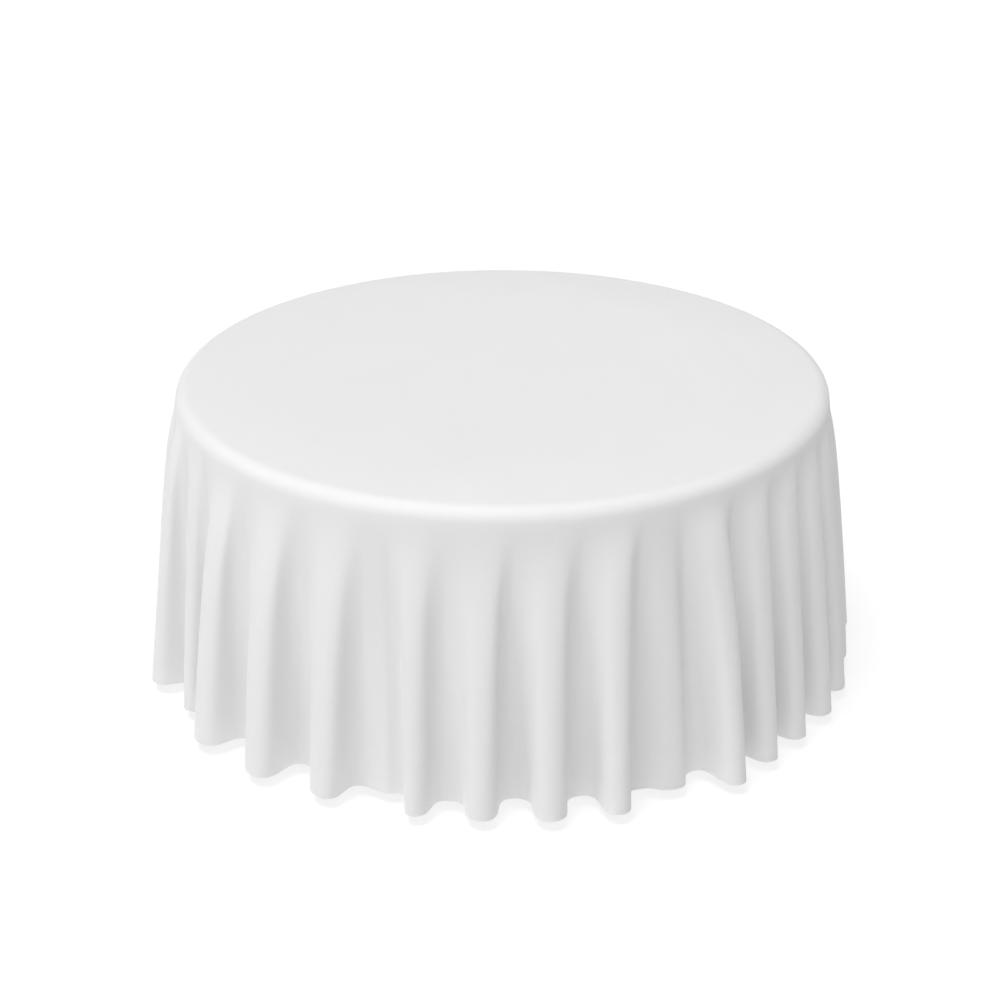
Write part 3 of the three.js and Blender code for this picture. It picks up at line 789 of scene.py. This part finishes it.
class TABLECLOTH_OT_stage(bpy.types.Operator):
    """Set up the floor, the lights and the camera"""

    bl_idname = "tablecloth.stage"
    bl_label = "Set Up the Studio"

    def execute(self, context):
        studio = context.scene.tablecloth_studio
        camera_data = bpy.data.cameras.new("camera")
        camera_data.lens = studio.lens
        camera_data.sensor_width = 36.0
        camera = new_object("camera", camera_data)
        camera.location = studio.camera_place
        camera.rotation_euler = (math.pi / 2 - studio.camera_pitch, 0.0, 0.0)
        context.scene.camera = camera

        # Low down the sky is bright with haze, and the camera sees a plain backdrop in front of it.
        world = bpy.data.worlds.new("studio")
        world.use_nodes = True
        tree = world.node_tree
        tree.nodes["Background"].inputs["Color"].default_value = (1, 1, 1, 1)
        look = tree.nodes.new("ShaderNodeSeparateXYZ")
        tree.links.new(tree.nodes.new("ShaderNodeTexCoord").outputs["Generated"], look.inputs[0])
        haze = tree.nodes.new("ShaderNodeMapRange")
        haze.interpolation_type = "SMOOTHSTEP"
        for name, value in (("From Min", 0.0), ("From Max", math.sin(studio.haze_height)),
                            ("To Min", studio.haze_strength), ("To Max", studio.sky_strength)):
            haze.inputs[name].default_value = value
        tree.links.new(look.outputs["Z"], haze.inputs["Value"])
        seen = tree.nodes.new("ShaderNodeMath")
        seen.operation = "MULTIPLY"
        tree.links.new(tree.nodes.new("ShaderNodeLightPath").outputs["Is Camera Ray"], seen.inputs[0])
        seen.inputs[1].default_value = studio.backdrop_strength
        brightest = tree.nodes.new("ShaderNodeMath")
        brightest.operation = "MAXIMUM"
        tree.links.new(seen.outputs[0], brightest.inputs[0])
        tree.links.new(haze.outputs["Result"], brightest.inputs[1])
        tree.links.new(brightest.outputs[0], tree.nodes["Background"].inputs["Strength"])
        context.scene.world = world

        floor_mesh = bpy.data.meshes.new("floor")
        far = FLOOR_REACH
        floor_mesh.from_pydata(
            [(-far, -far, 0), (far, -far, 0), (far, far, 0), (-far, far, 0)], [], [(0, 1, 2, 3)])
        floor_mesh.materials.append(floor_material(studio))
        new_object("floor", floor_mesh)

        # Each light's direction round the table and its height are in degrees, and -90 is the front.
        for name, azimuth, height, strength in (
                ("key", -150, 75, studio.key_strength), ("front", -110, 45, studio.front_strength),
                ("fill", -65, 50, studio.fill_strength), ("low", -148, 15, studio.low_strength)):
            light = bpy.data.lights.new(name, "SUN")
            light.energy = strength
            light.angle = studio.light_softness
            lamp = new_object(name, light)
            turn, lift = math.radians(azimuth), math.radians(height)
            lamp.location = (
                LIGHT_DISTANCE * math.cos(turn) * math.cos(lift),
                LIGHT_DISTANCE * math.sin(turn) * math.cos(lift),
                LIGHT_DISTANCE * math.sin(lift))
            lamp.rotation_euler = (-lamp.location).to_track_quat("-Z", "Y").to_euler()
        context.scene.view_settings.view_transform = "Standard"
        return {"FINISHED"}


class TABLECLOTH_OT_table(bpy.types.Operator):
    """Give the folding table its resin, steel, rubber and nylon"""

    bl_idname = "tablecloth.table"
    bl_label = "Finish the Table"

    def execute(self, context):
        settings = context.scene.tablecloth_table
        finishes = {
            "resin": resin_material(settings), "grey_steel": coated_material(settings),
            "zinc": zinc_material(settings), "rubber": rubber_material(settings),
            "nylon": nylon_material(settings)}
        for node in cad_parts.values():
            for place in node.material_slots:
                if place.material.name in finishes:
                    place.material = finishes[place.material.name]
        return {"FINISHED"}


def cloth_piece(name, mesh, finish):
    """A piece in that finish, parented to the cloth's body."""
    mesh.materials.append(finish)
    piece = new_object(name, mesh)
    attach(piece, "cloth")
    return piece


def thicken(piece, thickness, offset):
    """Gives a sheet its wall: inwards at an offset of -1, and to both sides of it at 0."""
    wall = piece.modifiers.new("thickness", "SOLIDIFY")
    wall.thickness = thickness
    wall.offset = offset


class TABLECLOTH_OT_cloth(bpy.types.Operator):
    """Drape the round cloth over the table, with its hem, its stitching and its label"""

    bl_idname = "tablecloth.cloth"
    bl_label = "Drape the Cloth"

    def execute(self, context):
        settings = context.scene.tablecloth_cloth
        drape = Drape(settings)
        white = cloth_material(settings)
        cloth = cloth_piece("cloth", cloth_mesh(drape, settings), white)
        thicken(cloth, settings.thickness, -1.0)
        hem = cloth_piece("hem", hem_mesh(drape, settings), white)
        label = cloth_piece("label", label_mesh(settings), label_material(settings))
        thicken(label, LABEL_THICKNESS, 0.0)
        seam = drape.beside(settings.stitch_height, 0.3 * settings.stitch_radius)
        stitches = sewn("hem_stitches", seam, settings, thread_material(settings))
        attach(stitches, "cloth")

        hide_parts("tablecloth")
        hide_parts("care_label")
        return {"FINISHED"}


class TABLECLOTH_PT_panel(bpy.types.Panel):
    """Steps that make the clothed table"""

    bl_label = "Tablecloth"
    bl_space_type = "VIEW_3D"
    bl_region_type = "UI"
    bl_category = "Tablecloth"

    def draw(self, context):
        for step in STEPS:
            self.layout.operator(step.bl_idname)


STEPS = (TABLECLOTH_OT_stage, TABLECLOTH_OT_table, TABLECLOTH_OT_cloth)
CLASSES = (ClothSettings, TableSettings, StudioSettings, *STEPS, TABLECLOTH_PT_panel)


def register():
    for cls in CLASSES:
        bpy.utils.register_class(cls)
    bpy.types.Scene.tablecloth_cloth = PointerProperty(type=ClothSettings)
    bpy.types.Scene.tablecloth_table = PointerProperty(type=TableSettings)
    bpy.types.Scene.tablecloth_studio = PointerProperty(type=StudioSettings)


def unregister():
    del bpy.types.Scene.tablecloth_studio
    del bpy.types.Scene.tablecloth_table
    del bpy.types.Scene.tablecloth_cloth
    for cls in reversed(CLASSES):
        bpy.utils.unregister_class(cls)


def main():
    register()
    bpy.ops.tablecloth.stage()
    bpy.ops.tablecloth.table()
    bpy.ops.tablecloth.cloth()


if __name__ == "__main__":
    main()
